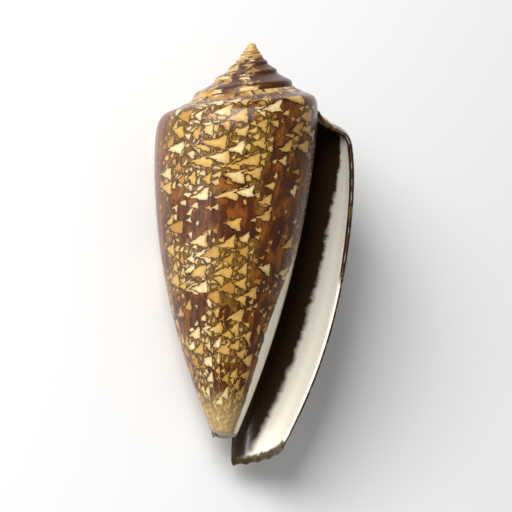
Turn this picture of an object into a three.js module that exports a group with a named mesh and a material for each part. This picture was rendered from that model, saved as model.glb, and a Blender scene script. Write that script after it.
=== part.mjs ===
// A cone shell lying on its back, with the aperture up: one closed solid, open along the aperture.
//
// The shell is built standing on its tip and is then laid down. While it stands, its coiling axis is
// close to Z with the apex up, a depth is a distance below the apex, and an angle is measured round
// the axis, back along the whorl from the lip: 0 at the lip, a half turn at the far side of the last
// whorl, and a further full turn for each older whorl. Millimetres and radians.
import * as THREE from "three";

const TURN = 2 * Math.PI;
const radians = THREE.MathUtils.degToRad;

// Driving dimensions: the coil
const WHORLS = 8;
const SHOULDER_RADIUS = 22.3; // at the lip
const RADIUS_DECAY = 0.0727; // per radian back from the lip
const SHOULDER_DEPTH = 16.8; // of the last whorl, before the lip's own droop
const DEPTH_DECAY = 0.0563;
const SPIRE_SKEW = 0.065; // the spire sits a little higher on the lip's side
const APEX_FULLNESS = 0.55; // the oldest whorls are this much wider than the coil makes them
const APEX_START = 22; // radians back from the lip where this starts
const APEX_FULL = 42; // and where it is all there
const LIP_DROOP = 3.6; // how far the shoulder sinks over the last stretch before the lip
const DROOP_ANGLE = 0.6;
const AXIS_LEAN = -0.0715; // sideways travel of the coiling axis per unit of depth
const RAMP_SAG = 0.1; // hollow of the shelf between suture and shoulder, as a share of its drop
const LIP_RAMP_SAG = 0.05; // more of the same at the lip
const BAND_SHARE = 0.148; // height of an older whorl's side above the suture, per shoulder radius
const LIP_BAND = 1.15; // more of the same at the lip
const SHOULDER_BEVEL = 0.1; // share of the shelf that the shoulder's rounding takes

// Driving dimensions: the side of the whorl, from the shoulder to the tip
const LIP_BASE_DEPTH = 86.2; // lowest point of the lip's outer edge
const MARGIN_DEPTH = 90.4; // lowest point of the shell
const CLOSED_DEPTH = 82.3; // where the far side of the last whorl ends
const TIP_DEPTH = 84.7; // end of the columella
const LIP_BASE_RADIUS = 12.7;
const TIP_RADIUS = 2.45;
const TIP_SHRINK = 0.6; // how much narrower the columella is where it goes inside
const BASE_CURL = 2.3; // how late the open base turns in towards the axis
const SWELL = 0.08; // how far the side bulges beyond the shoulder
const LIP_SWELL = 0.015; // more of the same at the lip
const SWELL_RISE = 0.03; // share of the side over which the bulge comes up
const LIP_SWELL_RISE = 0.07;
const TAPER_POWER = 2.1; // how late the side turns in towards the tip
const LIP_TAPER_POWER = 0.76; // the lip's side stays full for longer
const SIDE_REACH = 1.2; // the side's curve may be followed a little past its end

// Driving dimensions: the aperture
const WALL = 1.5;
const LIP_WALL = 1.0;
const LIP_WALL_ANGLE = radians(12);
const MARGIN_ANGLE = radians(72); // the open base runs this far back from the lip
const NOTCH_ROOF_ANGLE = radians(84);
const NOTCH_SHUT_ANGLE = radians(150);
const NOTCH_DEPTH = 10.6;
const OPEN_ANGLE = radians(97.5); // the base is closed beyond this
const OPEN_FADE = radians(15);
const CANAL_FLOOR_DEPTH = 78.5; // lowest depth of the hollow where the base closes
const CANAL_FLOOR_ANGLE = radians(60); // the floor starts to rise to it this far back from the lip
const CAVITY_FLOOR_DEPTH = 70; // and from a half turn on
const LIP_BOW = radians(3); // how far the middle of the lip runs forward
const LIP_SINUS = radians(2.5); // how far the lip is set back on the shelf

// Driving dimensions: how it lies
const REST_ANGLE = radians(124); // the shell touches the ground this far back from the lip
const REST_PITCH = radians(6.2);
const REST_FLAT = 0.2; // depth of the small flat that the shell rests on

// Mesh: columns follow the lip's outline, rows follow the coil
const COLUMNS = 48; // per turn
const RAMP_ROWS = 2;
const SIDE_ROWS = 12;
const BASE_ROWS = 2;
const BEVEL_ROW_SHARE = 0.35;
const SHOULDER_ROW = RAMP_ROWS + 1;
const ATTACH_ROW = SHOULDER_ROW + 1; // where the next whorl is joined on
const FLOOR_ROW = ATTACH_ROW + SIDE_ROWS;
const LAST_ROW = FLOOR_ROW + BASE_ROWS;
const STEP = TURN / COLUMNS;
const LAST_COLUMN = WHORLS * COLUMNS;
const OPEN_COLUMN = Math.round(OPEN_ANGLE / STEP);
const TIP_COLUMN = COLUMNS / 2;
const CAVITY_COLUMNS = COLUMNS;
const FLOOR_SHARE = 0.9; // where FLOOR_ROW lies on a side that walls no hollow
const FLOOR_ROUNDING = 8;
const SLOPE_REACH = 0.5; // the side's slope is taken over this much depth each way

const { exp, sin, cos, max, hypot } = Math;
const mix = THREE.MathUtils.lerp;
const clamp = THREE.MathUtils.clamp;
const smooth = (from, to, angle) => THREE.MathUtils.smoothstep(angle, from, to);

// The coil's formulas, each at an angle back from the lip

const flare = (angle) => clamp(1 - angle / Math.PI, 0, 1) ** 2;

const shoulderRadius = (angle) =>
  SHOULDER_RADIUS * exp(-RADIUS_DECAY * angle) +
  APEX_FULLNESS * smooth(APEX_START, APEX_FULL, angle);

const shoulderDepth = (angle) =>
  SHOULDER_DEPTH * exp(-DEPTH_DECAY * angle - SPIRE_SKEW * cos(angle)) +
  LIP_DROOP * exp(-angle / DROOP_ANGLE);

// The depth at which the side would end if the base had no notch.
function fullDepth(angle) {
  const margin = sin((Math.PI / 2) * clamp(angle / MARGIN_ANGLE, 0, 1));
  return (
    mix(LIP_BASE_DEPTH, MARGIN_DEPTH, margin) -
    (MARGIN_DEPTH - CLOSED_DEPTH) * smooth(MARGIN_ANGLE, Math.PI, angle) +
    (TIP_DEPTH - CLOSED_DEPTH) *
      (smooth(Math.PI, TURN + OPEN_ANGLE, angle) -
        smooth(TURN + OPEN_ANGLE, TURN + Math.PI, angle))
  );
}

function baseDepth(angle) {
  const notch =
    smooth(MARGIN_ANGLE, NOTCH_ROOF_ANGLE, angle) *
    (1 - smooth(NOTCH_ROOF_ANGLE, NOTCH_SHUT_ANGLE, angle));
  return fullDepth(angle) - NOTCH_DEPTH * notch;
}

const baseRadius = (angle) =>
  mix(LIP_BASE_RADIUS, TIP_RADIUS, clamp(angle / OPEN_ANGLE, 0, 1) ** BASE_CURL) -
  TIP_SHRINK * smooth(TURN, TURN + Math.PI, angle);

// The whorl's outer radius at a depth below its shoulder.
function sideRadius(angle, depth) {
  const shoulder = shoulderRadius(angle);
  const top = shoulderDepth(angle);
  const share = clamp((depth - top) / (fullDepth(angle) - top), 0, SIDE_REACH);
  const swell = SWELL + LIP_SWELL * flare(angle);
  const rise = 1 - exp(-share / (SWELL_RISE + LIP_SWELL_RISE * flare(angle)));
  const taper = 1 + swell - baseRadius(angle) / shoulder;
  const power = TAPER_POWER + LIP_TAPER_POWER * flare(angle);
  return shoulder * (1 + swell * rise - taper * share ** power);
}

// The depth of the line on a whorl's side where the next whorl is joined on.
const attachDepth = (angle) =>
  shoulderDepth(angle) +
  BAND_SHARE * shoulderRadius(angle) +
  LIP_BAND * exp(-max(angle - TURN, 0) / DROOP_ANGLE);

// The depth of FLOOR_ROW. Where the column is also the wall beside the hollow of the whorl a turn
// younger, this is the floor of that hollow.
function floorDepth(angle) {
  const younger = angle - TURN;
  const own = mix(attachDepth(angle), baseDepth(angle), FLOOR_SHARE);
  const floor = mix(
    CANAL_FLOOR_DEPTH,
    CAVITY_FLOOR_DEPTH,
    smooth(OPEN_ANGLE, Math.PI, younger),
  );
  return mix(own, floor, smooth(CANAL_FLOOR_ANGLE, OPEN_ANGLE, younger));
}

// How far the lip's outline runs forward or back at a depth: every column has the same outline.
const sideBow = (angle, depth) =>
  -LIP_BOW *
  sin(
    Math.PI *
      clamp(
        (depth - attachDepth(angle)) / (fullDepth(angle) - attachDepth(angle)),
        0,
        1,
      ),
  );

// A point of a column: its radius and depth, and how far it is set back from the column's angle.
const sidePoint = (angle, depth) => ({
  radius: sideRadius(angle, depth),
  depth,
  setBack: sideBow(angle, depth),
});

// Rows 0 to ATTACH_ROW: the shelf from the suture out to the shoulder, the shoulder's rounding, and
// the top of the side.
function upperRows(angle) {
  const suture = sidePoint(angle + TURN, attachDepth(angle + TURN));
  const radius = shoulderRadius(angle);
  const depth = shoulderDepth(angle);
  const drop = depth - suture.depth;
  const sag = 4 * drop * (RAMP_SAG + LIP_RAMP_SAG * exp(-angle / DROOP_ANGLE));
  const rows = [];
  for (let row = 0; row <= RAMP_ROWS; row++) {
    const share = (row / RAMP_ROWS) * (1 - SHOULDER_BEVEL);
    rows.push({
      radius: mix(suture.radius, radius, share),
      depth: suture.depth + drop * share + sag * share * (1 - share),
      setBack: LIP_SINUS * sin(Math.PI * share),
    });
  }
  const attach = attachDepth(angle);
  rows.push(sidePoint(angle, mix(depth, attach, BEVEL_ROW_SHARE)));
  rows.push(sidePoint(angle, attach));
  return rows;
}

// The closed surface, gathered as points and triangles
const points = [];
const faces = [];

// Rows are kept with the points, so that the inner wall can be offset from the outer one.
function addPoint(angle, row) {
  const around = angle + row.setBack;
  const x = row.radius * cos(around) + AXIS_LEAN * row.depth;
  points.push({ ...row, place: [x, row.radius * sin(around), -row.depth] });
  return points.length - 1;
}

function addQuad(a, b, c, d) {
  if (a !== b && b !== c && c !== a) faces.push([a, b, c]);
  if (a !== c && c !== d && d !== a) faces.push([a, c, d]);
}

// A run of quads between two columns, for rows from first up to last.
function addStrip(left, right, first, last) {
  for (let row = first; row < last; row++)
    addQuad(left[row], left[row + 1], right[row + 1], right[row]);
}

function addFan(loop, centre) {
  loop.forEach((from, i) =>
    faces.push([from, loop[(i + 1) % loop.length], centre]),
  );
}

// The outer surface, from the apex to the lip. A column's row 0 is the ATTACH_ROW of the column one
// turn older, so that neighbouring whorls share the suture.
function makeOuterColumns() {
  const columns = [];
  for (let i = LAST_COLUMN; i >= 0; i--) {
    const angle = i * STEP;
    const older = columns[i + COLUMNS];
    const column = upperRows(angle).map((row, j) =>
      j === 0 && older ? older[ATTACH_ROW] : addPoint(angle, row),
    );
    if (i <= COLUMNS + CAVITY_COLUMNS) {
      const attach = attachDepth(angle);
      const floor = floorDepth(angle);
      for (let row = 1; row <= SIDE_ROWS; row++) {
        const depth = mix(attach, floor, row / SIDE_ROWS);
        column.push(addPoint(angle, sidePoint(angle, depth)));
      }
      for (let row = 1; row <= BASE_ROWS; row++) {
        const depth = mix(floor, baseDepth(angle), row / BASE_ROWS);
        column.push(addPoint(angle, sidePoint(angle, depth)));
      }
    }
    columns[i] = column;
  }
  return columns;
}

// A row moved into the wall by its thickness, square to the outline's slope there.
function offset(row, slopeRadius, slopeDepth, wall) {
  const length = hypot(slopeRadius, slopeDepth);
  return {
    radius: row.radius - (wall * slopeDepth) / length,
    depth: row.depth + (wall * slopeRadius) / length,
    setBack: row.setBack,
  };
}

function innerSideRow(angle, depth, wall) {
  const slope =
    sideRadius(angle, depth + SLOPE_REACH) -
    sideRadius(angle, depth - SLOPE_REACH);
  return offset(sidePoint(angle, depth), slope, 2 * SLOPE_REACH, wall);
}

const blendRows = (from, to, share) => ({
  radius: mix(from.radius, to.radius, share),
  depth: mix(from.depth, to.depth, share),
  setBack: mix(from.setBack, to.setBack, share),
});

// The inside of the last whorl's wall. It starts on the older whorl just under the suture. Where the
// base is open it ends at the rim, and beyond that it turns in to the older whorl again.
function makeInnerColumns(outer) {
  const columns = [];
  for (let i = 0; i <= CAVITY_COLUMNS; i++) {
    const angle = i * STEP;
    const wall = mix(WALL, LIP_WALL, exp(-angle / LIP_WALL_ANGLE));
    const closing = smooth(OPEN_ANGLE - OPEN_FADE, OPEN_ANGLE, angle);
    const older = outer[i + COLUMNS];
    const column = [older[ATTACH_ROW + 1]];
    for (let row = 1; row <= ATTACH_ROW; row++) {
      const here = points[outer[i][row]];
      const before = points[outer[i][row - 1]];
      const after = points[outer[i][row + 1]];
      const inside = offset(
        here,
        after.radius - before.radius,
        after.depth - before.depth,
        wall,
      );
      column.push(addPoint(angle, inside));
    }
    const attach = attachDepth(angle);
    const floor = mix(floorDepth(angle), floorDepth(angle + TURN), closing);
    for (let row = 1; row <= SIDE_ROWS; row++) {
      const share = row / SIDE_ROWS;
      const inside = innerSideRow(angle, mix(attach, floor, share), wall);
      const shared = points[older[ATTACH_ROW + row]];
      const meets = closing * share ** FLOOR_ROUNDING;
      column.push(
        i >= OPEN_COLUMN && row === SIDE_ROWS
          ? older[FLOOR_ROW]
          : addPoint(angle, blendRows(inside, shared, meets)),
      );
    }
    for (let row = 1; row <= BASE_ROWS && i <= OPEN_COLUMN; row++) {
      const depth = mix(floor, baseDepth(angle), row / BASE_ROWS);
      const inside = innerSideRow(angle, depth, wall);
      const shared = points[older[FLOOR_ROW + row]];
      column.push(
        i === OPEN_COLUMN
          ? older[FLOOR_ROW + row]
          : addPoint(angle, blendRows(inside, shared, closing)),
      );
    }
    columns.push(column);
  }
  return columns;
}

// The outer surface, and the older whorl's side where it walls the hollow.
function coverOutside(outer) {
  for (let i = 0; i < LAST_COLUMN; i++) {
    addStrip(outer[i], outer[i + 1], 0, ATTACH_ROW);
    const inHollow = i - COLUMNS;
    if (inHollow < 0) addStrip(outer[i], outer[i + 1], ATTACH_ROW, LAST_ROW);
    else if (inHollow < OPEN_COLUMN)
      addStrip(outer[i], outer[i + 1], ATTACH_ROW + 1, LAST_ROW);
    else if (inHollow < CAVITY_COLUMNS)
      addStrip(outer[i], outer[i + 1], ATTACH_ROW + 1, FLOOR_ROW);
  }
}

// The inside of the wall, and the blind end of the hollow.
function coverInside(outer, inner) {
  for (let i = 0; i < CAVITY_COLUMNS; i++)
    addStrip(inner[i + 1], inner[i], 0, i < OPEN_COLUMN ? LAST_ROW : FLOOR_ROW);
  const end = inner[CAVITY_COLUMNS];
  const older = outer[CAVITY_COLUMNS + COLUMNS];
  for (let row = 1; row <= ATTACH_ROW; row++)
    faces.push([older[ATTACH_ROW + 1], end[row + 1], end[row]]);
  addStrip(older, end, ATTACH_ROW + 1, FLOOR_ROW);
}

// The lip's edge, the rim of the open base, and the closed base with the columella's tip.
function coverEdges(outer, inner) {
  addStrip(inner[0], outer[0], 0, LAST_ROW);
  for (let i = 0; i < OPEN_COLUMN; i++)
    addQuad(
      outer[i][LAST_ROW],
      inner[i][LAST_ROW],
      inner[i + 1][LAST_ROW],
      outer[i + 1][LAST_ROW],
    );
  for (let i = OPEN_COLUMN; i < TIP_COLUMN; i++)
    addQuad(
      outer[i][LAST_ROW],
      outer[i + COLUMNS][LAST_ROW],
      outer[i + 1 + COLUMNS][LAST_ROW],
      outer[i + 1][LAST_ROW],
    );
  const tip = outer
    .slice(TIP_COLUMN, TIP_COLUMN + COLUMNS + 1)
    .map((column) => column[LAST_ROW]);
  const tipCentre = addPoint(0, { radius: 0, depth: TIP_DEPTH, setBack: 0 });
  addFan(tip.reverse(), tipCentre);
}

function coverApex(outer) {
  const loop = outer.slice(LAST_COLUMN - COLUMNS).map((column) => column[0]);
  loop.push(...outer[LAST_COLUMN].slice(1, ATTACH_ROW));
  addFan(loop, addPoint(0, { radius: 0, depth: 0, setBack: 0 }));
}

function makeShellGeometry() {
  const outer = makeOuterColumns();
  const inner = makeInnerColumns(outer);
  coverOutside(outer);
  coverInside(outer, inner);
  coverEdges(outer, inner);
  coverApex(outer);
  const geometry = new THREE.BufferGeometry();
  const places = points.flatMap((point) => point.place);
  geometry.setAttribute("position", new THREE.Float32BufferAttribute(places, 3));
  geometry.setIndex(faces.flat());
  return geometry;
}

// Turns the shell over onto its back with the apex towards +Y, centres it, and flattens the spot it
// rests on.
function layDown(geometry) {
  geometry.rotateZ(Math.PI / 2 - REST_ANGLE);
  geometry.rotateX(REST_PITCH - Math.PI / 2);
  geometry.computeBoundingBox();
  const { min, max } = geometry.boundingBox;
  geometry.translate(
    -(min.x + max.x) / 2,
    -(min.y + max.y) / 2,
    -min.z - REST_FLAT,
  );
  const places = geometry.getAttribute("position");
  for (let i = 0; i < places.count; i++)
    places.setZ(i, Math.max(places.getZ(i), 0));
  geometry.computeVertexNormals();
  return geometry;
}

const nacre = new THREE.MeshStandardMaterial({
  color: "#dcb87c",
  roughness: 0.28,
  metalness: 0,
});

const shell = new THREE.Mesh(layDown(makeShellGeometry()), nacre);
shell.name = "shell";

const part = new THREE.Group();
part.add(shell);

export default part;
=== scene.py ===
"""A tented cone shell lying on its back on a pale studio floor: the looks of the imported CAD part.

The shell is one fine mesh, made by the formulas that the CAD solid follows, so it lies in the solid's
place. It is built standing on its tip and is then laid down. While it stands, its coiling axis is
close to Z with the apex up, a depth is a distance below the apex, and an angle is measured round the
axis, back along the whorl from the lip. Shapes are in millimetres and radians until they are laid
down. The markings are shader nodes that follow six marks, which the mesh stores in three UV maps:
above all, how far back along the growth a point lies and how far down from the shoulder.
"""

import bpy
import numpy as np
from mathutils import Matrix, Vector


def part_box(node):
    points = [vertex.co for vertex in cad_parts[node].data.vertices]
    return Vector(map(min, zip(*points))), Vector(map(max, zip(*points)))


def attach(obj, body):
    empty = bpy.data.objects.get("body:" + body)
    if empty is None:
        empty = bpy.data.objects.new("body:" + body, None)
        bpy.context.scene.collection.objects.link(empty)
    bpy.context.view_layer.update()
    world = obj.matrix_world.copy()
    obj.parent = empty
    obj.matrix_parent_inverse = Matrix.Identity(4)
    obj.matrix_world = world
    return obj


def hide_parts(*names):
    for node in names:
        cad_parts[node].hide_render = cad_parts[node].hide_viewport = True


TURN = 2 * np.pi
MM = 0.001

# The coil, as in the CAD solid
WHORLS = 8
SHOULDER_RADIUS = 22.3  # at the lip
RADIUS_DECAY = 0.0727  # per radian back from the lip
SHOULDER_DEPTH = 16.8  # of the last whorl, before the lip's own droop
DEPTH_DECAY = 0.0563
SPIRE_SKEW = 0.065  # the spire sits a little higher on the lip's side
APEX_FULLNESS = 0.55  # the oldest whorls are this much wider than the coil makes them
APEX_START = 22  # radians back from the lip where this starts
APEX_FULL = 42  # and where it is all there
LIP_DROOP = 3.6  # how far the shoulder sinks over the last stretch before the lip
DROOP_ANGLE = 0.6
AXIS_LEAN = -0.0715  # sideways travel of the coiling axis per unit of depth
RAMP_SAG = 0.1  # hollow of the shelf between suture and shoulder, as a share of its drop
LIP_RAMP_SAG = 0.05  # more of the same at the lip
BAND_SHARE = 0.148  # height of an older whorl's side above the suture, per shoulder radius
LIP_BAND = 1.15  # more of the same at the lip

# The side of the whorl, as in the CAD solid
LIP_BASE_DEPTH = 86.2  # lowest point of the lip's outer edge
MARGIN_DEPTH = 90.4  # lowest point of the shell
CLOSED_DEPTH = 82.3  # where the far side of the last whorl ends
TIP_DEPTH = 84.7  # end of the columella
LIP_BASE_RADIUS = 12.7
TIP_RADIUS = 2.45
TIP_SHRINK = 0.6  # how much narrower the columella is where it goes inside
BASE_CURL = 2.3  # how late the open base turns in towards the axis
SWELL = 0.08  # how far the side bulges beyond the shoulder
LIP_SWELL = 0.015  # more of the same at the lip
SWELL_RISE = 0.03  # share of the side over which the bulge comes up
LIP_SWELL_RISE = 0.07
TAPER_POWER = 2.1  # how late the side turns in towards the tip
LIP_TAPER_POWER = 0.76  # the lip's side stays full for longer
SIDE_REACH = 1.2  # the side's curve may be followed a little past its end

# The aperture, as in the CAD solid
WALL = 1.5
LIP_WALL = 1.0
LIP_WALL_ANGLE = np.radians(12)
MARGIN_ANGLE = np.radians(72)  # the open base runs this far back from the lip
NOTCH_ROOF_ANGLE = np.radians(84)
NOTCH_SHUT_ANGLE = np.radians(150)
NOTCH_DEPTH = 10.6
OPEN_ANGLE = np.radians(97.5)  # the base is closed beyond this
OPEN_FADE = np.radians(15)
CANAL_FLOOR_DEPTH = 78.5  # lowest depth of the hollow where the base closes
CANAL_FLOOR_ANGLE = np.radians(60)  # the floor starts to rise to it this far back from the lip
CAVITY_FLOOR_DEPTH = 70  # and from a half turn on
FLOOR_SHARE = 0.9  # where FLOOR_ROW lies on a side that walls no hollow
FLOOR_ROUNDING = 8  # the power by which the hollow's wall curves into its floor
LIP_BOW = np.radians(3)  # how far the middle of the lip runs forward
LIP_SINUS = np.radians(2.5)  # how far the lip is set back on the shelf

# How it lies, as in the CAD solid
REST_ANGLE = np.radians(124)  # the shell touches the ground this far back from the lip
REST_PITCH = np.radians(6.2)
REST_FLAT = 0.2  # depth of the small flat that the shell rests on

# What the fine mesh adds to the solid's shape
ROUND_START = 0.8  # share of the ramp where the shoulder's rounding starts
ROUND_END = 0.55  # share of the band where it ends
INNER_START = 0.2  # share of the ramp where the hollow's roof starts
WELT = 0.22  # height of the low welt that each whorl lays against the suture
WELT_SHARE = 0.07  # share of the ramp over which it sinks away
THREAD_HEIGHT = 0.05  # spiral threads on the ramp
THREADS = 3
RIPPLE = 0.035  # height of the growth ripples
RIPPLES = 9
RIPPLE_WAVES = (12.0, 40.0)  # slowest and quickest, in radians of the wave per radian of growth
RIPPLE_FADE = 0.3  # share of the ramp over which the ripples grow from the suture
SCARS = 7  # growth scars, where the shell stopped growing for a while
SCAR_ANGLES = (0.2, 1.8 * TURN)  # the youngest and the oldest that a scar may be
SCAR_HEIGHT = 0.12
SCAR_WIDTH = 0.035  # in radians
WAVES = 8  # sine waves in the lip's and the base's wandering edge
LIP_FRAY = 0.22  # how far the lip's edge wanders
LIP_WAVES = (0.4, 2.4)  # in radians of the wave per millimetre of depth
FRAY_ANGLE = 0.05  # over which its wandering fades out behind the edge
BASE_FRAY = 0.35  # how far the open base's edge wanders
BASE_WAVES = (4, 16)  # in radians of the wave per radian of growth
TIP_BULGE = 0.4  # how far the columella's end is domed
RIM_DIP = np.pi / 2  # the open base's edge faces straight down
CORNER_DIP = np.pi / 4  # where it meets the lip's edge, both face half down
CORNER_COLUMNS = 2  # over which the base's edge turns from one to the other
SLOPE_REACH = 0.5  # the side's slope is taken over this much depth each way
SMALL = 0.01  # the step that shows which way a curve runs
MARK_RADIUS = 20.0  # the markings keep their size along the growth at this distance from the axis

# Mesh
COLUMNS = 192  # per turn
RAMP_ROWS = 14
ROUND_ROWS = 6
BAND_ROWS = 3
SIDE_ROWS = 56
BASE_ROWS = 6
EDGE_ROWS = 4  # round the edge of the lip and of the base
FADE_ROWS = 8  # over which the lip's edge grows at its top, and turns down at its foot
DOME_ROWS = 5
CORNER_ROW = RAMP_ROWS + ROUND_ROWS // 2
ATTACH_ROW = RAMP_ROWS + ROUND_ROWS + BAND_ROWS  # where the next whorl is joined on
FLOOR_ROW = ATTACH_ROW + SIDE_ROWS
LAST_ROW = FLOOR_ROW + BASE_ROWS
STEP = TURN / COLUMNS
LAST_COLUMN = WHORLS * COLUMNS
SIDE_SHARES = np.linspace(0, 1, SIDE_ROWS + 1)[None, 1:]
BASE_SHARES = np.linspace(0, 1, BASE_ROWS + 1)[None, 1:]
OPEN_COLUMN = round(OPEN_ANGLE / STEP)
TIP_COLUMN = COLUMNS // 2

# Camera: looking straight at the aperture's side of the shell, with the apex up
FRAME_WIDTH = 108.6  # of the picture, at the shell's axis
APEX_RISE = 45.2  # of the apex above the picture's centre
APEX_SIDE = -0.9  # of the apex to the right of it
CAMERA_DISTANCE = 0.9  # in metres
SENSOR_WIDTH = 36.0
CLIP_START = 0.05  # in metres

# Studio, in metres and watts
FLOOR_SIDE = 6.0
FLOOR_WHITE = 0.95
FLOOR_ROUGHNESS = 0.9
LIGHT_AIM = (0, 0, 0.02)
SOFTBOXES = {  # position, size and power
    "key": ((-0.56, 0.35, 0.56), (0.45, 0.45), 9.0),
    "strip": ((-0.6, 0.0, 0.1), (0.5, 0.08), 1.0),
}
SKY_STRENGTH = 0.26

random = np.random.default_rng(7)


# The coil's formulas, each at an angle back from the lip


def mix(start, end, share):
    return start + (end - start) * share


def smooth(low, high, x):
    share = np.clip((x - low) / (high - low), 0, 1)
    return share * share * (3 - 2 * share)


def flare(angle):
    return np.clip(1 - angle / np.pi, 0, 1) ** 2


def shoulder_radius(angle):
    fuller = APEX_FULLNESS * smooth(APEX_START, APEX_FULL, angle)
    return SHOULDER_RADIUS * np.exp(-RADIUS_DECAY * angle) + fuller


def shoulder_depth(angle):
    coil = SHOULDER_DEPTH * np.exp(-DEPTH_DECAY * angle - SPIRE_SKEW * np.cos(angle))
    return coil + LIP_DROOP * np.exp(-angle / DROOP_ANGLE)


def full_depth(angle):
    """The depth at which the side would end if the base had no notch."""
    margin = np.sin(np.pi / 2 * np.clip(angle / MARGIN_ANGLE, 0, 1))
    open_depth = mix(LIP_BASE_DEPTH, MARGIN_DEPTH, margin)
    closed = (MARGIN_DEPTH - CLOSED_DEPTH) * smooth(MARGIN_ANGLE, np.pi, angle)
    tip = smooth(np.pi, TURN + OPEN_ANGLE, angle) - smooth(TURN + OPEN_ANGLE, TURN + np.pi, angle)
    return open_depth - closed + (TIP_DEPTH - CLOSED_DEPTH) * tip


def base_depth(angle):
    notch = smooth(MARGIN_ANGLE, NOTCH_ROOF_ANGLE, angle)
    notch = notch * (1 - smooth(NOTCH_ROOF_ANGLE, NOTCH_SHUT_ANGLE, angle))
    return full_depth(angle) - NOTCH_DEPTH * notch


def base_radius(angle):
    curl = np.clip(angle / OPEN_ANGLE, 0, 1) ** BASE_CURL
    return mix(LIP_BASE_RADIUS, TIP_RADIUS, curl) - TIP_SHRINK * smooth(TURN, TURN + np.pi, angle)


def side_radius(angle, depth):
    """The whorl's outer radius at a depth below its shoulder."""
    shoulder = shoulder_radius(angle)
    top = shoulder_depth(angle)
    share = np.clip((depth - top) / (full_depth(angle) - top), 0, SIDE_REACH)
    swell = SWELL + LIP_SWELL * flare(angle)
    rise = 1 - np.exp(-share / (SWELL_RISE + LIP_SWELL_RISE * flare(angle)))
    taper = 1 + swell - base_radius(angle) / shoulder
    power = TAPER_POWER + LIP_TAPER_POWER * flare(angle)
    return shoulder * (1 + swell * rise - taper * share**power)


def attach_depth(angle):
    """The depth of the line on a whorl's side where the next whorl is joined on."""
    lip = LIP_BAND * np.exp(-np.maximum(angle - TURN, 0) / DROOP_ANGLE)
    return shoulder_depth(angle) + BAND_SHARE * shoulder_radius(angle) + lip


def floor_depth(angle):
    """The depth of FLOOR_ROW, which is the hollow's floor where the column is also its wall."""
    younger = angle - TURN
    own = mix(attach_depth(angle), base_depth(angle), FLOOR_SHARE)
    deep = smooth(OPEN_ANGLE, np.pi, younger)
    floor = mix(CANAL_FLOOR_DEPTH, CAVITY_FLOOR_DEPTH, deep)
    return mix(own, floor, smooth(CANAL_FLOOR_ANGLE, OPEN_ANGLE, younger))


def side_bow(angle, depth):
    top = attach_depth(angle)
    return -LIP_BOW * np.sin(np.pi * np.clip((depth - top) / (full_depth(angle) - top), 0, 1))


# Relief of the grown surface


def wander(slowest, quickest, count=WAVES):
    """A function that wanders between about -1 and 1: a few sine waves with random phases."""
    pitches = random.uniform(slowest, quickest, count)
    phases = random.uniform(0, TURN, count)
    waves = list(zip(pitches, phases))
    return lambda x: sum(np.sin(x * pitch + phase) for pitch, phase in waves) / count**0.5


lip_wander = wander(*LIP_WAVES)
base_wander = wander(*BASE_WAVES)


class Relief:
    """Heights above the smooth coil. Growth ripples and scars run down the whorl, as the lip does."""

    def __init__(self, angle):
        scale = shoulder_radius(angle) / SHOULDER_RADIUS
        ripples = RIPPLE * wander(*RIPPLE_WAVES, RIPPLES)(angle)
        scars = 0
        for scar_angle in random.uniform(*SCAR_ANGLES, SCARS):
            scars = scars + SCAR_HEIGHT * np.exp(-(((angle - scar_angle) / SCAR_WIDTH) ** 2))
        self.side = scale * (ripples + scars)
        self.scale = scale

    def ramp(self, share):
        welt = WELT * np.exp(-((share / WELT_SHARE) ** 2))
        threads = THREAD_HEIGHT * np.cos(TURN * THREADS * share)
        return self.side * smooth(0, RIPPLE_FADE, share) + self.scale * (welt + threads)


# Rows of points, each as its radius, its depth, and how far it is set back from its column's angle


def as_rows(radius, depth, set_back):
    return np.stack(np.broadcast_arrays(radius, depth, set_back), axis=-1)


def ramp_rows(angle, share, inset=0.0):
    """The shelf from the suture out to the shoulder, moved into the wall by inset."""
    suture_depth = attach_depth(angle + TURN)
    suture_radius = side_radius(angle + TURN, suture_depth)
    run = shoulder_radius(angle) - suture_radius
    drop = shoulder_depth(angle) - suture_depth
    sag = 4 * drop * (RAMP_SAG + LIP_RAMP_SAG * np.exp(-angle / DROOP_ANGLE))
    fall = drop + sag * (1 - 2 * share)
    length = np.hypot(run, fall)
    radius = suture_radius + run * share - inset * fall / length
    depth = suture_depth + drop * share + sag * share * (1 - share) + inset * run / length
    return as_rows(radius, depth, LIP_SINUS * np.sin(np.pi * share))


def side_rows(angle, depth, inset=0.0):
    """The side of the whorl at these depths, moved into the wall by inset."""
    below = side_radius(angle, depth + SLOPE_REACH)
    slope = (below - side_radius(angle, depth - SLOPE_REACH)) / (2 * SLOPE_REACH)
    length = np.hypot(1, slope)
    radius = side_radius(angle, depth) - inset / length
    return as_rows(radius, depth + inset * slope / length, side_bow(angle, depth))


def crossing(start, ahead, end, beyond):
    """Where the line from start through ahead meets the one from end through beyond."""
    way, back, gap = ahead - start, beyond - end, end - start
    cross = way[..., 0] * back[..., 1] - way[..., 1] * back[..., 0]
    share = (gap[..., 0] * back[..., 1] - gap[..., 1] * back[..., 0]) / cross
    return start + way * share[..., None]


def shoulder_rows(angle, share, inset=0.0):
    """The rounding between the ramp and the side, as one curve that leaves both of them smoothly."""
    end_depth = mix(shoulder_depth(angle), attach_depth(angle), ROUND_END)
    start = ramp_rows(angle, ROUND_START, inset)
    end = side_rows(angle, end_depth, inset)
    ahead = ramp_rows(angle, ROUND_START + SMALL, inset)
    beyond = side_rows(angle, end_depth + SMALL, inset)
    corner = crossing(start, ahead, end, beyond)
    corner[..., 2] = (start[..., 2] + end[..., 2]) / 2
    share = share[..., None]
    return mix(mix(start, corner, share), mix(corner, end, share), share)


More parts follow.
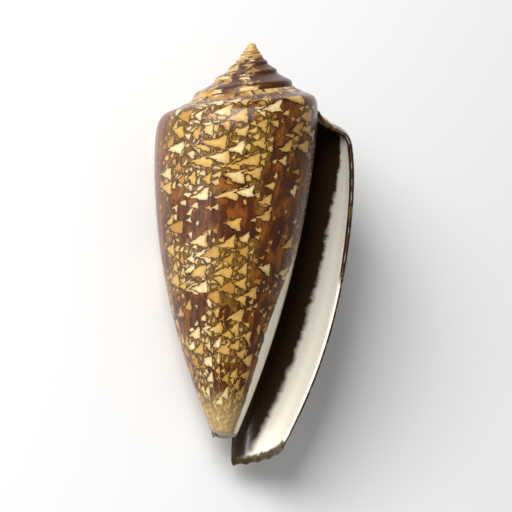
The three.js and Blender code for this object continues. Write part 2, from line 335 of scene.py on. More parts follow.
def upper_rows(angle, relief=None, inset=0.0, first_share=0.0):
    """Rows 0 to ATTACH_ROW: the ramp, the shoulder, and the top of the side."""
    ramp_share = np.linspace(first_share, ROUND_START, RAMP_ROWS + 1)[None, :]
    round_share = np.linspace(0, 1, ROUND_ROWS + 1)[None, 1:]
    band_share = np.linspace(ROUND_END, 1, BAND_ROWS + 1)[None, 1:]
    band_depth = mix(shoulder_depth(angle), attach_depth(angle), band_share)
    ramp_height = corner_height = side_height = 0
    if relief:
        ramp_height = relief.ramp(ramp_share)
        side_height = relief.side
        corner_height = mix(relief.ramp(ROUND_START), side_height, round_share)
    rows = [
        ramp_rows(angle, ramp_share, inset - ramp_height),
        shoulder_rows(angle, round_share, inset - corner_height),
        side_rows(angle, band_depth, inset - side_height),
    ]
    return np.concatenate(rows, axis=1)


def lower_depths(angle, floor, base):
    """The depths of the rows below ATTACH_ROW: down to the floor, and on to the base."""
    side = mix(attach_depth(angle), floor, SIDE_SHARES)
    return np.concatenate([side, mix(floor, base, BASE_SHARES)], axis=1)


def frayed(angle, rows):
    """The lip's edge wanders a little, and stops short by half the wall, for its rounding."""
    stop = LIP_WALL / 2 + LIP_FRAY * lip_wander(rows[..., 1])
    back = stop / np.maximum(rows[..., 0], 1)
    rows[..., 2] += back * np.exp(-angle / FRAY_ANGLE)
    return rows


def place(angle, rows):
    radius, depth, set_back = np.moveaxis(rows, -1, 0)
    around = angle + set_back
    x = radius * np.cos(around) + AXIS_LEAN * depth
    return np.stack([x, radius * np.sin(around), -depth], axis=-1)


# The mesh


class Surface:
    """Points and faces, with the marks that the shader reads at each corner of a face."""

    def __init__(self):
        self.places = []
        self.faces = []
        self.marks = []
        self.count = 0

    def add(self, places):
        """Adds an array of points, and returns their numbers in the same arrangement."""
        shape = places.shape[:-1]
        numbers = self.count + np.arange(int(np.prod(shape))).reshape(shape)
        self.places.append(places.reshape(-1, 3))
        self.count += numbers.size
        return numbers

    def cover(self, numbers, marks):
        """Four-sided faces over a grid of points. Sides of no length are left out."""
        near, far = slice(None, -1), slice(1, None)
        corners = [(near, near), (near, far), (far, far), (far, near)]
        faces = np.stack([numbers[c] for c in corners], axis=-1).reshape(-1, 4)
        marked = np.stack([marks[c] for c in corners], axis=2).reshape(-1, 4, marks.shape[-1])
        kept = faces != np.roll(faces, 1, axis=1)
        for face, mark, keep in zip(faces.tolist(), marked, kept):
            if keep.sum() >= 3:
                self.faces.append([n for n, k in zip(face, keep) if k])
                self.marks.append(mark[keep])


def marks_of(angle, rows, lining=0.0):
    """The six marks of each point: millimetres back along the growth, millimetres down from the
    shoulder, turns back from the lip, share of the side's depth, how much of the inner lining it
    carries, and its rung. That is 0 at the suture, 1 at the shoulder, 2 where the next whorl is
    joined on and 3 at the base."""
    growth = MARK_RADIUS * (1 - np.exp(-RADIUS_DECAY * angle)) / RADIUS_DECAY
    steps = np.diff(rows[..., :2], axis=1, prepend=rows[:, :1, :2])
    down = np.cumsum(np.hypot(steps[..., 0], steps[..., 1]), axis=1)
    down = down - down[:, CORNER_ROW : CORNER_ROW + 1]
    top = shoulder_depth(angle)
    share = (rows[..., 1] - top) / (full_depth(angle) - top)
    row = np.arange(rows.shape[1])[None, :]
    rung = np.interp(row, [0, CORNER_ROW, ATTACH_ROW, LAST_ROW], [0, 1, 2, 3])
    return np.stack(np.broadcast_arrays(growth, down, angle / TURN, share, lining, rung), axis=-1)


def make_outside(surface):
    """The outer surface from the apex to the lip, and the older whorl's side inside the hollow. Row 0
    of a column is ATTACH_ROW of the column a turn older, so that neighbours share the suture."""
    angle = STEP * np.arange(LAST_COLUMN + 1)[:, None]
    relief = Relief(angle)
    upper = upper_rows(angle, relief)
    sided = 2 * COLUMNS + 1
    side_angle = angle[:sided]
    base = base_depth(side_angle) - WALL / 2
    base = base - BASE_FRAY * np.abs(base_wander(side_angle)) * (side_angle < np.pi)
    depth = lower_depths(side_angle, floor_depth(side_angle), base)
    side = side_rows(side_angle, depth, -relief.side[:sided])
    rows = np.concatenate([upper[:sided], side], axis=1)
    rows = frayed(side_angle, rows)
    upper = np.concatenate([rows[:, : ATTACH_ROW + 1], upper[sided:]], axis=0)

    numbers = surface.add(place(angle, upper))
    numbers[:-COLUMNS, 0] = numbers[COLUMNS:, ATTACH_ROW]
    side_numbers = surface.add(place(side_angle, rows[:, ATTACH_ROW + 1 :]))
    whole = np.concatenate([numbers[:sided], side_numbers], axis=1)
    marks = marks_of(side_angle, rows)
    surface.cover(numbers, marks_of(angle, upper))
    surface.cover(whole[: COLUMNS + 1, ATTACH_ROW:], marks[: COLUMNS + 1, ATTACH_ROW:])
    inside = slice(COLUMNS, COLUMNS + OPEN_COLUMN + 1)
    deeper = slice(COLUMNS + OPEN_COLUMN, sided)
    surface.cover(whole[inside, ATTACH_ROW + 1 :], marks[inside, ATTACH_ROW + 1 :])
    floor_end = FLOOR_ROW + 1
    surface.cover(whole[deeper, ATTACH_ROW + 1 : floor_end], marks[deeper, ATTACH_ROW + 1 : floor_end])
    return numbers, whole, rows, marks


def make_inside(surface, whole, rows):
    """The inner face of the last whorl's wall, and the blind end of the hollow."""
    angle = STEP * np.arange(COLUMNS + 1)[:, None]
    wall = mix(WALL, LIP_WALL, np.exp(-angle / LIP_WALL_ANGLE))
    closing = smooth(OPEN_ANGLE - OPEN_FADE, OPEN_ANGLE, angle)
    older = slice(COLUMNS, 2 * COLUMNS + 1)
    upper = upper_rows(angle, inset=wall, first_share=INNER_START)
    floor = mix(floor_depth(angle), floor_depth(angle + TURN), closing)
    depth = lower_depths(angle, floor, rows[: COLUMNS + 1, -1:, 1])
    side = side_rows(angle, depth, wall)
    meets = closing * np.concatenate([SIDE_SHARES**FLOOR_ROUNDING, BASE_SHARES**0], axis=1)
    side = mix(side, rows[older, ATTACH_ROW + 1 :], meets[..., None])
    own = frayed(angle, np.concatenate([upper, side], axis=1))
    numbers = surface.add(place(angle, own))
    numbers[:, 0] = whole[older, ATTACH_ROW + 1]
    numbers[OPEN_COLUMN:, FLOOR_ROW:] = whole[older, FLOOR_ROW:][OPEN_COLUMN:]
    marks = marks_of(angle, own, lining=1.0)
    opened = slice(0, OPEN_COLUMN + 1)
    deeper = slice(OPEN_COLUMN, COLUMNS + 1)
    surface.cover(numbers[opened][::-1], marks[opened][::-1])
    surface.cover(numbers[deeper, : FLOOR_ROW + 1][::-1], marks[deeper, : FLOOR_ROW + 1][::-1])
    blind = np.stack([whole[2 * COLUMNS, : FLOOR_ROW + 1], numbers[COLUMNS, : FLOOR_ROW + 1]])
    blind[0, : ATTACH_ROW + 1] = whole[2 * COLUMNS, ATTACH_ROW + 1]
    surface.cover(blind, np.stack([marks[COLUMNS, : FLOOR_ROW + 1]] * 2))
    return numbers, marks


def half_round(start, end, outward, height):
    """Points between start and end on a half round that stands out by height, without its ends."""
    turn = np.linspace(0, np.pi, EDGE_ROWS + 2)[1:-1, None, None]
    middle = (start + end) / 2
    return middle + (start - middle) * np.cos(turn) + outward * height * np.sin(turn)


def make_edges(surface, places, whole, inner, marks, inner_marks):
    """The lip's edge, the rim of the open base, and the closed base as far as the columella."""
    forward, down = np.array([0, -1.0, 0]), np.array([0, 0, -1.0])
    start, end = places[inner[0]], places[whole[0]]
    row = np.arange(LAST_ROW + 1)[:, None]
    dip = CORNER_DIP * smooth(LAST_ROW - FADE_ROWS, LAST_ROW, row)
    outward = forward * np.cos(dip) + down * np.sin(dip)
    height = LIP_WALL / 2 * smooth(0, FADE_ROWS, row)
    lip = surface.add(half_round(start, end, outward, height))
    lip[:, 0] = whole[0, 0]
    grid = np.concatenate([inner[:1], lip, whole[:1]])
    share = np.linspace(1, 0, EDGE_ROWS + 2)[:, None, None]
    surface.cover(grid, mix(marks[0], inner_marks[0], share))

    ends = np.concatenate([inner[:OPEN_COLUMN, LAST_ROW], whole[COLUMNS + OPEN_COLUMN :, LAST_ROW]])
    ends = ends[: TIP_COLUMN + 1]
    starts = whole[: TIP_COLUMN + 1, LAST_ROW]
    column = np.arange(TIP_COLUMN + 1)[:, None]
    dip = RIM_DIP - (RIM_DIP - CORNER_DIP) * np.exp(-column / CORNER_COLUMNS)
    outward = forward * np.cos(dip) + down * np.sin(dip)
    rim = surface.add(half_round(places[starts], places[ends], outward, WALL / 2))
    rim[:, 0] = lip[::-1, LAST_ROW]
    grid = np.concatenate([starts[None], rim, ends[None]]).T
    rim_marks = mix(marks[: TIP_COLUMN + 1, -1:], inner_marks[: TIP_COLUMN + 1, -1:], share[::-1, :, 0])
    surface.cover(grid, rim_marks)
    return rim[:, -1]


def make_dome(surface, places, loop, centre, marks):
    """A rounded cap from a closed loop of points to its centre."""
    loop = np.append(loop, loop[0])
    turn = np.linspace(0, np.pi / 2, DOME_ROWS + 1)[1:-1, None]
    level = mix(places[loop][None, :, :2], centre[:2], 1 - np.cos(turn)[..., None])
    height = mix(places[loop][None, :, 2], centre[2], np.sin(turn))
    rings = surface.add(np.concatenate([level, height[..., None]], axis=-1))
    rings[:, -1] = rings[:, 0]
    peak = np.full((1, len(loop)), surface.add(centre[None])[0])
    grid = np.concatenate([loop[None], rings, peak])
    surface.cover(grid, np.broadcast_to(marks, grid.shape + marks.shape))


def make_caps(surface, outer, whole, rim_end, marks, apex_marks):
    """The columella's tip and the apex."""
    places = np.concatenate(surface.places)
    turn = slice(TIP_COLUMN, TIP_COLUMN + COLUMNS + 1)
    loop = np.concatenate([whole[turn, LAST_ROW], rim_end[::-1]])[::-1]
    centre = places[loop].mean(axis=0)
    centre[2] -= TIP_BULGE
    make_dome(surface, places, loop, centre, marks[TIP_COLUMN + COLUMNS // 4, LAST_ROW])
    loop = np.concatenate([outer[-COLUMNS - 1 :, 0], outer[-1, 1:ATTACH_ROW]])
    centre = places[loop].mean(axis=0)
    centre[2] = 0
    make_dome(surface, places, loop, centre, apex_marks)


def make_shell():
    """The whole closed surface: its points in millimetres, its faces, and their corners' marks."""
    surface = Surface()
    outer, whole, rows, marks = make_outside(surface)
    inner, inner_marks = make_inside(surface, whole, rows)
    places = np.concatenate(surface.places)
    rim_end = make_edges(surface, places, whole, inner, marks, inner_marks)
    apex_angle = np.array([[LAST_COLUMN * STEP]])
    apex_marks = marks_of(apex_angle, upper_rows(apex_angle))[0, RAMP_ROWS // 2]
    make_caps(surface, outer, whole, rim_end, marks, apex_marks)
    places = np.concatenate(surface.places)
    used, renumbered = np.unique(np.concatenate(surface.faces), return_inverse=True)
    ends = np.cumsum([len(face) for face in surface.faces])[:-1]
    faces = [face.tolist() for face in np.split(renumbered, ends)]
    return places[used], faces, np.concatenate(surface.marks)


def rest_turn():
    """Turns the shell from standing on its tip to lying on its back with the apex towards +Y."""
    onto_back = Matrix.Rotation(REST_PITCH - np.pi / 2, 3, "X")
    return onto_back @ Matrix.Rotation(np.pi / 2 - REST_ANGLE, 3, "Z")


def lay_down(places, box):
    """The points in metres as they lie, in the CAD solid's box, and the shift that took them there."""
    low, high = np.array(box[0]), np.array(box[1])
    laid = places @ np.array(rest_turn()).T * MM
    shift = (low + high) / 2 - (laid.min(axis=0) + laid.max(axis=0)) / 2
    shift[2] = -REST_FLAT * MM - laid[:, 2].min()
    laid = laid + shift
    laid[:, 2] = np.maximum(laid[:, 2], 0)
    return laid, shift


def add_object(name, places, faces, material):
    mesh = bpy.data.meshes.new(name)
    mesh.from_pydata(places.tolist(), [], faces)
    mesh.materials.append(material)
    made = bpy.data.objects.new(name, mesh)
    bpy.context.scene.collection.objects.link(made)
    return made


def add_marks(mesh, marks):
    """Stores the marks as UV maps, two numbers in each."""
    maps = {"growth": marks[:, 0:2], "coil": marks[:, 2:4], "wall": marks[:, 4:6]}
    for name, values in maps.items():
        layer = mesh.uv_layers.new(name=name)
        layer.uv.foreach_set("vector", values.astype(np.float32).ravel())


# Shader nodes, as arithmetic


class Field:
    """A value that varies over a surface: a node's output, on which arithmetic adds more nodes."""

    tree = None

    def __init__(self, socket):
        self.socket = socket

    def __add__(self, other):
        return arithmetic("ADD", self, other)

    def __radd__(self, other):
        return arithmetic("ADD", other, self)

    def __sub__(self, other):
        return arithmetic("SUBTRACT", self, other)

    def __rsub__(self, other):
        return arithmetic("SUBTRACT", other, self)

    def __mul__(self, other):
        return arithmetic("MULTIPLY", self, other)

    def __truediv__(self, other):
        return arithmetic("DIVIDE", self, other)

    def __pow__(self, other):
        return arithmetic("POWER", self, other)

    def __neg__(self):
        return arithmetic("MULTIPLY", self, -1.0)


def connect(value, socket):
    if isinstance(value, Field):
        Field.tree.links.new(value.socket, socket)
    else:
        socket.default_value = value


def add_node(kind, inputs, **settings):
    node = Field.tree.nodes.new(kind)
    for name, value in settings.items():
        setattr(node, name, value)
    for key, value in inputs.items():
        connect(value, node.inputs[key])
    return node


def arithmetic(operation, *values):
    node = add_node("ShaderNodeMath", dict(enumerate(values)), operation=operation)
    return Field(node.outputs[0])


def floor_of(value):
    return arithmetic("FLOOR", value)


def lower(a, b):
    return arithmetic("MINIMUM", a, b)


def higher(a, b):
    return arithmetic("MAXIMUM", a, b)


def above(value, limit):
    return arithmetic("GREATER_THAN", value, limit)


def ease(value, low, high):
    """0 where value is under low, 1 where it is over high, and smooth between."""
    inputs = {"Value": value, "From Min": low, "From Max": high}
    return Field(add_node("ShaderNodeMapRange", inputs, interpolation_type="SMOOTHSTEP").outputs[0])


def between(value, low, high, fade):
    """1 from low to high and 0 outside them, with soft ends."""
    return ease(value, low - fade, low + fade) * (1.0 - ease(value, high - fade, high + fade))


def choose(start, end, share):
    """A number between start and end."""
    inputs = {0: share, 2: start, 3: end}
    return Field(add_node("ShaderNodeMix", inputs, data_type="FLOAT").outputs[0])


def blend(start, end, share):
    """A colour between start and end."""
    inputs = {0: share, 6: start, 7: end}
    return Field(add_node("ShaderNodeMix", inputs, data_type="RGBA").outputs[2])


def vector(x, y, z=0.0):
    return Field(add_node("ShaderNodeCombineXYZ", {0: x, 1: y, 2: z}).outputs[0])


def parts_of(value):
    node = add_node("ShaderNodeSeparateXYZ", {0: value})
    return [Field(output) for output in node.outputs]


def read_marks(name):
    node = Field.tree.nodes.new("ShaderNodeUVMap")
    node.uv_map = name
    return parts_of(Field(node.outputs["UV"]))[:2]


def noise(x, y, seed, detail=2.0, roughness=0.5):
    """Soft noise about 0, mostly between -0.5 and 0.5, with features about 1 across."""
    inputs = {"Vector": vector(x, y, seed), "Scale": 1.0, "Detail": detail, "Roughness": roughness}
    return Field(add_node("ShaderNodeTexNoise", inputs).outputs[0]) - 0.5


def dice(x, y, seed):
    """Three even random numbers from 0 to 1 for each pair of whole numbers x and y."""
    inputs = {"Vector": vector(x + 0.5, y + 0.5, seed)}
    return parts_of(Field(add_node("ShaderNodeTexWhiteNoise", inputs).outputs["Color"]))


def paint(hexadecimal):
    """The colour that a screen shows for these six digits, in linear light."""
    values = [int(hexadecimal[i : i + 2], 16) / 255 for i in (0, 2, 4)]
    return (*[((v + 0.055) / 1.055) ** 2.4 if v > 0.04 else v / 12.92 for v in values], 1.0)


# The markings, with painted shade and a painted highlight among them

WHITE = paint("e4d09e")
CREAM = paint("c6a057")
GOLD = paint("a26e26")
ORANGE = paint("83470f")
BROWN = paint("4a2104")
DARK = paint("220e03")
OLIVE = paint("583b10")
UMBER = paint("3c270a")
ENAMEL = paint("f8f0df")
CALLUS = paint("d2b078")
# painted shade: the dark brown deep in the aperture's hollow
HOLLOW_SHADE = paint("3b2818")

# Stretches along the growth, from and to in millimetres back from the lip
BROWN_MARGIN = (55.0, 62.5)
ORANGE_MARGIN = (54.0, 63.0)
FEW_FLAMES = (64.0, 80.0)
# painted highlight: the tents along this stretch are whitened
PAINTED_HIGHLIGHT_TENTS = (67.0, 75.0)
SHADE_FLANK_START = (82.0, 88.0)  # where the flank's painted shade fades in, over the body's right third

# Where each of these ends, from and to in millimetres down from the shoulder
BROWN_MARGIN_END = (30.0, 38.0)
ORANGE_MARGIN_END = (12.0, 30.0)
FEW_FLAMES_END = (13.0, 19.0)

# Brown bands: from and to in millimetres down from the shoulder, and how brown
BANDS = ((18.5, 28.5, 1.0), (39.0, 47.5, 0.85), (55.0, 62.0, 0.6))
BAND_FADE = 1.3

# Brown sectors of the spire: the angles of their middles, and the turns that have them. The first,
# over the spire's right half, is partly painted shade.
SPIRE_SHADED_SECTOR = np.radians(322)
SPIRE_SECOND_SECTOR = np.radians(248)
SECTOR_TURNS = (1.0, 4.3)

# Tents, in millimetres: the distance between rows, a tent's width, and its greatest height
SMALL_TENTS = {"spacing": 1.3, "width": 1.7, "reach": 2.5, "seed": 10.0}
LARGE_TENTS = {"spacing": 2.9, "width": 3.3, "reach": 5.6, "seed": 20.0}
TENT_ROWS = 3  # how many rows may overlap
TENT_BULGE = 0.85  # a power under 1 makes the sides bulge
LEAST_TENT = 0.3  # height of the lowest tent, as a share of the greatest
ROW_SHIFT = 9.0  # how far along itself a row may be shifted, in widths
TENT_SLIP = 0.45  # how far a tent may stand out of its row, in spacings
BROWN_AND_SHADE_CLEARING = 0.85  # share of the tents that are missing where it is brown, and under the flank's painted shade

# The enamel, in turns back from the lip and in shares of the side's depth
CALLUS_START = 0.978
CALLUS_FADE = 0.006
CALLUS_WIDENING = 0.09  # how much sooner it starts low down
CALLUS_TOP = (0.02, 0.06)  # where it starts below the shoulder
CALLUS_LAST = 1.9  # where it ends, deep in the hollow
CALLUS_TAN = (0.965, 0.975)  # where it turns from white to tan low down
CALLUS_SHADED = (0.985, 1.01)  # where painted shade turns it brown inside the hollow
LOW_COLUMELLA = (0.32, 0.72)  # where the callus widens and turns white on the way down
UPPER_LIP = (0.32, 0.52)  # where the dark rim of the upper lip ends; the rim is partly the outer pattern's brown, partly painted shade of the lip's edge
RIM_WIDTH = 0.006  # of that rim on the lining
BASE_EDGE = (0.964, 0.976)  # where the base's dark edge starts
BASE_EDGE_LAST = 0.2  # and how far back from the lip it goes
# The painted shade in the hollow starts beyond a line that these four set
SHADE_LINE_TOP = 0.044  # how deep the white reaches into the hollow at the top, before the painted shade
SHADE_LINE_SLOPE = 0.066  # how much deeper at the base
SHADE_LINE_STEP = 0.016  # how much deeper anywhere below the shoulder's rounding
SHADE_LINE_FOOT = 0.04  # how much deeper again at the very base

# Relief of the finish
BUMP_HEIGHT = 0.00009
CORD_PITCH = 5.2  # radians of the wave per millimetre
CORDS_START = (0.8, 0.92)  # share of the side's depth where the spiral cords start
FINISH = {
    "IOR": 1.45,
    "Specular IOR Level": 0.2,
    "Coat Weight": 0.5,
    "Coat IOR": 1.45,
    "Coat Roughness": 0.08,
}


# In what follows, the numbers that multiply a noise's places say how many of its features there are
# to a millimetre or a rung, the last two of ease are the levels between which a colour fades in, and
# a number that multiplies the result says how strongly the colour shows.


def brown_and_shade(x, y):
    """How brown the side is, 0 for not at all and 1 or a little over for all brown: flames that run
    down it and bands round it, a brown margin at the picture's left, and a brown flank beside the
    aperture that is painted shade, over the body's right third."""
    flame = ease(noise(x * 0.17, y * 0.03, seed=4.0, detail=3.0, roughness=0.6), 0.0, 0.09)
    few = between(x, *FEW_FLAMES, fade=2.0) * (1.0 - ease(y, *FEW_FLAMES_END))
    flame = flame * (1.0 - few * 0.8)
    margin = between(x, *BROWN_MARGIN, fade=1.5) * (1.0 - ease(y, *BROWN_MARGIN_END))
    # Painted shade: the flank beside the aperture, the body's right third, is darkened to brown
    flank = ease(x, *SHADE_FLANK_START) * ease(noise(x * 0.2, y * 0.06, seed=6.0), -0.2, -0.05)
    patches = ease(noise(x * 0.17, y * 0.06, seed=5.0), -0.14, 0.0)
    band = sum(between(y, start, end, BAND_FADE) * strength for start, end, strength in BANDS)
    return higher(higher(flame * 0.85, margin * 1.15), higher(band * patches, flank * 0.8))


def tents(x, y, spacing, width, reach, seed):
    """Three-cornered tents: a straight edge on the older side, and a peak towards the younger side.
    They stand in rows, older rows overlap younger ones, and few stand on brown and on painted shade.
    Returns how far a point lies inside its tent, less than 0 on the ground, and a random number of that
    tent."""
    first = floor_of(x / spacing)
    inside, tone = -1.0, 0.0
    for number in range(1, TENT_ROWS + 1):
        row = first + float(number)
        offset = dice(row, 0.0, seed)[0] * ROW_SHIFT
        along = y / width + offset
        cell = floor_of(along)
        across = along - cell
        chance, size, shade = dice(row, cell, seed + 1.0)
        _, lean, slip = dice(row, cell, seed + 2.0)
        peak = lean * 0.5 + 0.25  # from a quarter to three quarters of the way across
        rise = lower(across / peak, (1.0 - across) / (1.0 - peak)) ** TENT_BULGE
        height = (size * (1.0 - LEAST_TENT) + LEAST_TENT) * reach
        back = (row - slip * TENT_SLIP) * spacing - x
        slope = (height / width * 2.0) ** 2.0 + 1.0
        here = lower((height * rise - back) / slope**0.5, back)
        # The brown and the painted shade near a tent's own middle decide whether the whole tent shows
        dark = brown_and_shade(row * spacing - height * 0.4, (cell - offset + 0.5) * width)
        shown = above(here, 0.0) * above(chance, dark * BROWN_AND_SHADE_CLEARING)
        inside = choose(inside, here, shown)
        tone = choose(tone, shade, shown)
    return inside, tone


def outlined(ground, fill, edge, inside, width):
    """Tents of this fill on the ground, each with a dark edge of about this width."""
    colour = blend(ground, edge, above(inside, 0.0))
    return blend(colour, fill, ease(inside, *width))


def side_colour(growth, down, share):
    """Tents of white, cream and gold, close together on olive, and scattered on the brown parts. Along
    one stretch the tents are whitened as a painted highlight.
    """
    bend = noise(growth * 0.3, down * 0.3, seed=1.0, detail=3.0)
    shiver = noise(growth * 1.7, down * 1.7, seed=2.0, detail=3.0)
    x = growth + bend * 1.8 + shiver * 0.8
    y = down + noise(growth * 0.3, down * 0.3, seed=3.0) * 1.8 + noise(growth, down, seed=14.0) * 1.1
    # dark holds the flank's painted shade as well as the brown pattern, and browns the ground and edges
    # there
    dark = brown_and_shade(x, y)

    axial = noise(x * 3.2, y * 0.12, seed=8.0)
    brown = blend(ORANGE, BROWN, ease(noise(x * 0.5, y * 0.2, seed=7.0, detail=3.0), -0.16, 0.06))
    orange = between(x, *ORANGE_MARGIN, fade=1.5) * (1.0 - ease(y, *ORANGE_MARGIN_END))
    brown = blend(brown, ORANGE, orange * 0.5)
    brown = blend(brown, DARK, ease(axial, 0.04, 0.18) * 0.7)
    brown = blend(brown, ORANGE, ease(-axial, 0.1, 0.22) * 0.6)
    mottle = ease(noise(x * 0.8, y * 0.8, seed=12.0, detail=3.0), -0.1, 0.1)
    ground = blend(blend(OLIVE, GOLD, mottle * 0.45), brown, ease(dark, 0.25, 0.55))
    edge = blend(UMBER, DARK, ease(dark, 0.2, 0.6))
    # A painted highlight: the tents along this stretch are whiter
    light = between(x, *PAINTED_HIGHLIGHT_TENTS, fade=2.0)

    inside, tone = tents(x, y, **SMALL_TENTS)
    fill = blend(CREAM, GOLD, ease(tone, 0.2, 0.9))
    fill = blend(fill, WHITE, light * 0.5)
    fill = blend(edge, fill, ease(inside, -0.4, 0.5))
    colour = outlined(ground, fill, edge, inside, (0.06, 0.24))

    inside, tone = tents(x, y, **LARGE_TENTS)
    fill = blend(WHITE, CREAM, ease(tone - light * 0.4, 0.1, 0.35))
    fill = blend(fill, GOLD, ease(tone, 0.7, 1.0) * 0.8)
    stain = ease(noise(x * 0.9, y * 0.9, seed=13.0, detail=3.0), 0.0, 0.25)
    fill = blend(fill, GOLD, stain * 0.5)
    fill = blend(GOLD, fill, ease(inside, -0.3, 1.0))
    colour = outlined(colour, fill, edge, inside, (0.12, 0.36))

    streak = ease(noise(x * 4.0, y * 0.06, seed=11.0), 0.1, 0.2)
    colour = blend(colour, OLIVE, streak * 0.3)
    return blend(colour, blend(CREAM, WHITE, 0.5), ease(share, 0.84, 0.98) * 0.5)


def spire_colour(growth, turns, rung):
    """Cream and gold with brown sectors across the whorls, fine spiral lines and dark sutures. The wide
    sector over the right half is partly painted shade.
    """
    around = turns * TURN
    wobble = noise(growth * 0.3, rung * 1.7, seed=31.0, detail=3.0)
    # Brown over the spire's right half: partly pattern, partly painted shade
    right = arithmetic("COSINE", around - SPIRE_SHADED_SECTOR + wobble * 1.3)
    left = arithmetic("COSINE", around - SPIRE_SECOND_SECTOR + wobble * 1.3)
    sector = higher(ease(right, 0.7, 0.78), ease(left, 0.965, 0.985))
    sector = sector * between(turns, *SECTOR_TURNS, fade=0.1)
    spots = noise(growth * 0.45, rung * 0.8, seed=32.0, roughness=0.6) + wobble * 0.3

    shade = ease(noise(growth * 0.7, rung * 2.0, seed=33.0), -0.1, 0.2)
    cream = ease(noise(growth * 0.4, rung * 3.0, seed=34.0, detail=3.0), -0.14, 0.08)
    gold = ease(noise(growth * 0.3, rung * 1.2, seed=36.0), -0.1, 0.1)
    ground = blend(blend(WHITE, CREAM, cream), GOLD, gold * 0.9)
    brown = blend(BROWN, DARK, shade * 0.7)
    colour = blend(ground, brown, higher(sector, ease(spots, 0.05, 0.11)))
    spiral = ease(noise(growth * 0.1, rung * 9.0, seed=35.0), 0.04, 0.13)
    colour = blend(colour, OLIVE, spiral * 0.7)
    suture = higher(1.0 - ease(rung, 0.0, 0.09), between(rung, 1.05, 1.3, fade=0.08) * 0.6)
    return blend(colour, BROWN, suture * 0.8)


def callus_cover(turns, share, low, fringe):
    """1 where a layer of enamel lies on the older whorl beside the aperture and in the hollow."""
    since_start = turns + fringe * 0.7 - CALLUS_START + low * CALLUS_WIDENING
    callus = ease(since_start, 0.0, CALLUS_FADE)
    return callus * ease(share, *CALLUS_TOP) * above(CALLUS_LAST, turns)


def lining_cover(growth, turns, share, lining):
    """1 on the wall's white inside. Round the lip's edge the lining goes from 0 outside to 1 inside:
    white starts halfway on the lower lip, and leaves a dark rim on the upper lip and at the base. The
    upper lip's rim is partly the outer pattern's brown, partly painted shade of the lip's edge."""
    upper_lip = 1.0 - ease(share, *UPPER_LIP)
    lined = ease(lining, upper_lip * 0.45 + 0.45, upper_lip * 0.45 + 0.55)
    lined = lined * ease(turns, upper_lip * RIM_WIDTH - 0.002, upper_lip * RIM_WIDTH)
    ragged = share + noise(growth * 0.5, 0.0, seed=46.0, detail=3.0) * 0.03
    return lined * (1.0 - ease(ragged, *BASE_EDGE) * above(BASE_EDGE_LAST, turns))


def enamel_colour(turns, share, lining, callus, low, fringe):
    """White on the lip and the columella, tan on the upper callus, and painted shade of dark brown deep
    in the hollow.
    """
    slope = share * SHADE_LINE_SLOPE + share**8.0 * SHADE_LINE_FOOT + SHADE_LINE_TOP
    shade_line = slope + ease(share, 0.05, 0.3) * SHADE_LINE_STEP + fringe
    # Painted shade: the lining beyond the shade line, and the callus deep in the hollow, turn dark
    # brown
    hollow = ease(turns / shade_line, 0.88, 1.08) * lining
    behind = ease(turns, *CALLUS_SHADED) * callus
    tan = callus * (1.0 - low * (1.0 - ease(turns, *CALLUS_TAN)))
    return blend(blend(ENAMEL, CALLUS, tan), HOLLOW_SHADE, higher(hollow, behind))


def shell_material():
    material = bpy.data.materials.new("tented_shell")
    material.use_nodes = True
    Field.tree = material.node_tree
    shader = Field.tree.nodes["Principled BSDF"]
    growth, down = read_marks("growth")
    turns, share = read_marks("coil")
    lining, rung = read_marks("wall")

    on_side = ease(rung, 0.25, 0.45) * (1.0 - above(turns, 1.0) * (1.0 - above(rung, 2.0)))
    spire = spire_colour(growth, turns, rung)
    outside = blend(spire, side_colour(growth, down, share), on_side)
    # Where the lining is not white the colour goes near black; on the lip this is partly the outer
    # pattern's brown, partly painted shade of the lip's edge
    outside = blend(outside, DARK, ease(lining, 0.0, 0.4) * 0.88)

    fringe = noise(down * 0.45, growth * 0.2, seed=41.0, detail=4.0, roughness=0.6) * 0.03
    low = ease(share, *LOW_COLUMELLA)
    callus = callus_cover(turns, share, low, fringe)
    enamel = higher(callus, lining_cover(growth, turns, share, lining))
    inside = enamel_colour(turns, share, lining, callus, low, fringe)
    connect(blend(outside, inside, enamel), shader.inputs["Base Color"])

    gloss = noise(growth * 0.8, down * 0.8, seed=42.0, detail=3.0) * 0.2 + 0.42 - on_side * 0.14
    connect(gloss, shader.inputs["Roughness"])
    lines = noise(growth * 5.0, down * 0.12, seed=43.0, detail=3.0)
    pits = noise(growth * 2.2, down * 2.2, seed=44.0, detail=4.0, roughness=0.6)
    wavering = noise(growth * 0.15, 0.0, seed=45.0) * 3.0
    cords = arithmetic("SINE", down * CORD_PITCH + wavering) * ease(share, *CORDS_START)
    grain = (lines * 0.9 + pits * 0.35) * (1.0 - enamel * 0.8)
    height = grain + cords * (1.0 - enamel) * 0.25
    bump = add_node("ShaderNodeBump", {"Height": height, "Distance": BUMP_HEIGHT, "Strength": 1.0})
    for name in ("Normal", "Coat Normal"):
        connect(Field(bump.outputs[0]), shader.inputs[name])
    for name, value in FINISH.items():
        shader.inputs[name].default_value = value
    return material


def floor_material():
    material = bpy.data.materials.new("studio_floor")
    material.use_nodes = True
    shader = material.node_tree.nodes["Principled BSDF"]
    shader.inputs["Base Color"].default_value = (FLOOR_WHITE, FLOOR_WHITE, FLOOR_WHITE, 1)
    shader.inputs["Roughness"].default_value = FLOOR_ROUGHNESS
    return material


# The studio


def add_floor():
    corners = np.array([[-1, -1, 0], [1, -1, 0], [1, 1, 0], [-1, 1, 0]]) * FLOOR_SIDE / 2
    floor = add_object("floor", corners, [[0, 1, 2, 3]], floor_material())


def view_axes():
    """The picture's right and up, and the way towards the camera."""
    turn = rest_turn()
    return turn @ Vector((1, 0, 0)), turn @ Vector((0, 0, 1)), turn @ Vector((0, -1, 0))


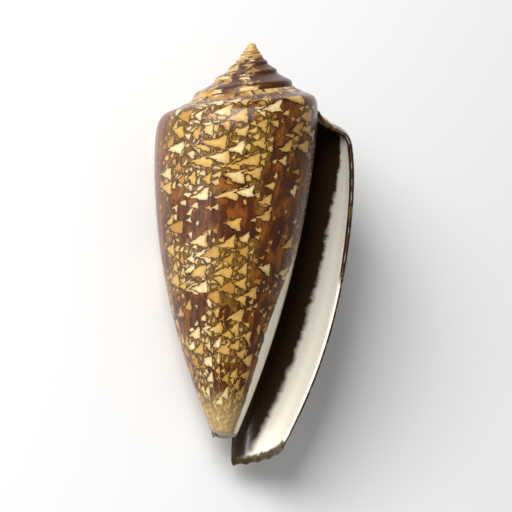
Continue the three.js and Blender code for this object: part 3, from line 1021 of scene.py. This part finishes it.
def add_camera(apex):
    right, up, towards = view_axes()
    target = apex - right * (APEX_SIDE * MM) - up * (APEX_RISE * MM)
    camera = bpy.data.cameras.new("camera")
    camera.sensor_width = SENSOR_WIDTH
    camera.lens = SENSOR_WIDTH * CAMERA_DISTANCE / (FRAME_WIDTH * MM)
    camera.clip_start = CLIP_START
    made = bpy.data.objects.new("camera", camera)
    turn = Matrix((right, up, towards)).transposed().to_4x4()
    made.matrix_world = Matrix.Translation(target + towards * CAMERA_DISTANCE) @ turn
    bpy.context.scene.collection.objects.link(made)
    bpy.context.scene.camera = made


def add_softbox(name, position, size, power):
    light = bpy.data.lights.new(name, "AREA")
    light.shape = "RECTANGLE"
    light.size, light.size_y = size
    light.energy = power
    made = bpy.data.objects.new(name, light)
    made.location = position
    away = Vector(position) - Vector(LIGHT_AIM)
    made.rotation_euler = away.to_track_quat("Z", "Y").to_euler()
    bpy.context.scene.collection.objects.link(made)


def add_lights():
    for name, (position, size, power) in SOFTBOXES.items():
        add_softbox(name, position, size, power)
    world = bpy.data.worlds.new("studio")
    world.use_nodes = True
    background = world.node_tree.nodes["Background"]
    background.inputs["Color"].default_value = (1, 1, 1, 1)
    background.inputs["Strength"].default_value = SKY_STRENGTH
    bpy.context.scene.world = world


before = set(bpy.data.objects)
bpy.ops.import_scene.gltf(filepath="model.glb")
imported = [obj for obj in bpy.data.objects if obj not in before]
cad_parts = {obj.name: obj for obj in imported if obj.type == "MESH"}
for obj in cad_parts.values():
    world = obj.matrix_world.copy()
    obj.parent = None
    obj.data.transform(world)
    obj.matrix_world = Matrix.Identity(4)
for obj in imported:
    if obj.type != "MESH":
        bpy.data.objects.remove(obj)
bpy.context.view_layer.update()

places, faces, marks = make_shell()
laid, shift = lay_down(places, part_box("shell"))
shell = add_object("cone_shell", laid, faces, shell_material())
add_marks(shell.data, marks)
shell.data.shade_smooth()
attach(shell, "root")
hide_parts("shell")

add_floor()
add_camera(Vector(shift))
add_lights()
bpy.context.scene.view_settings.view_transform = "Standard"
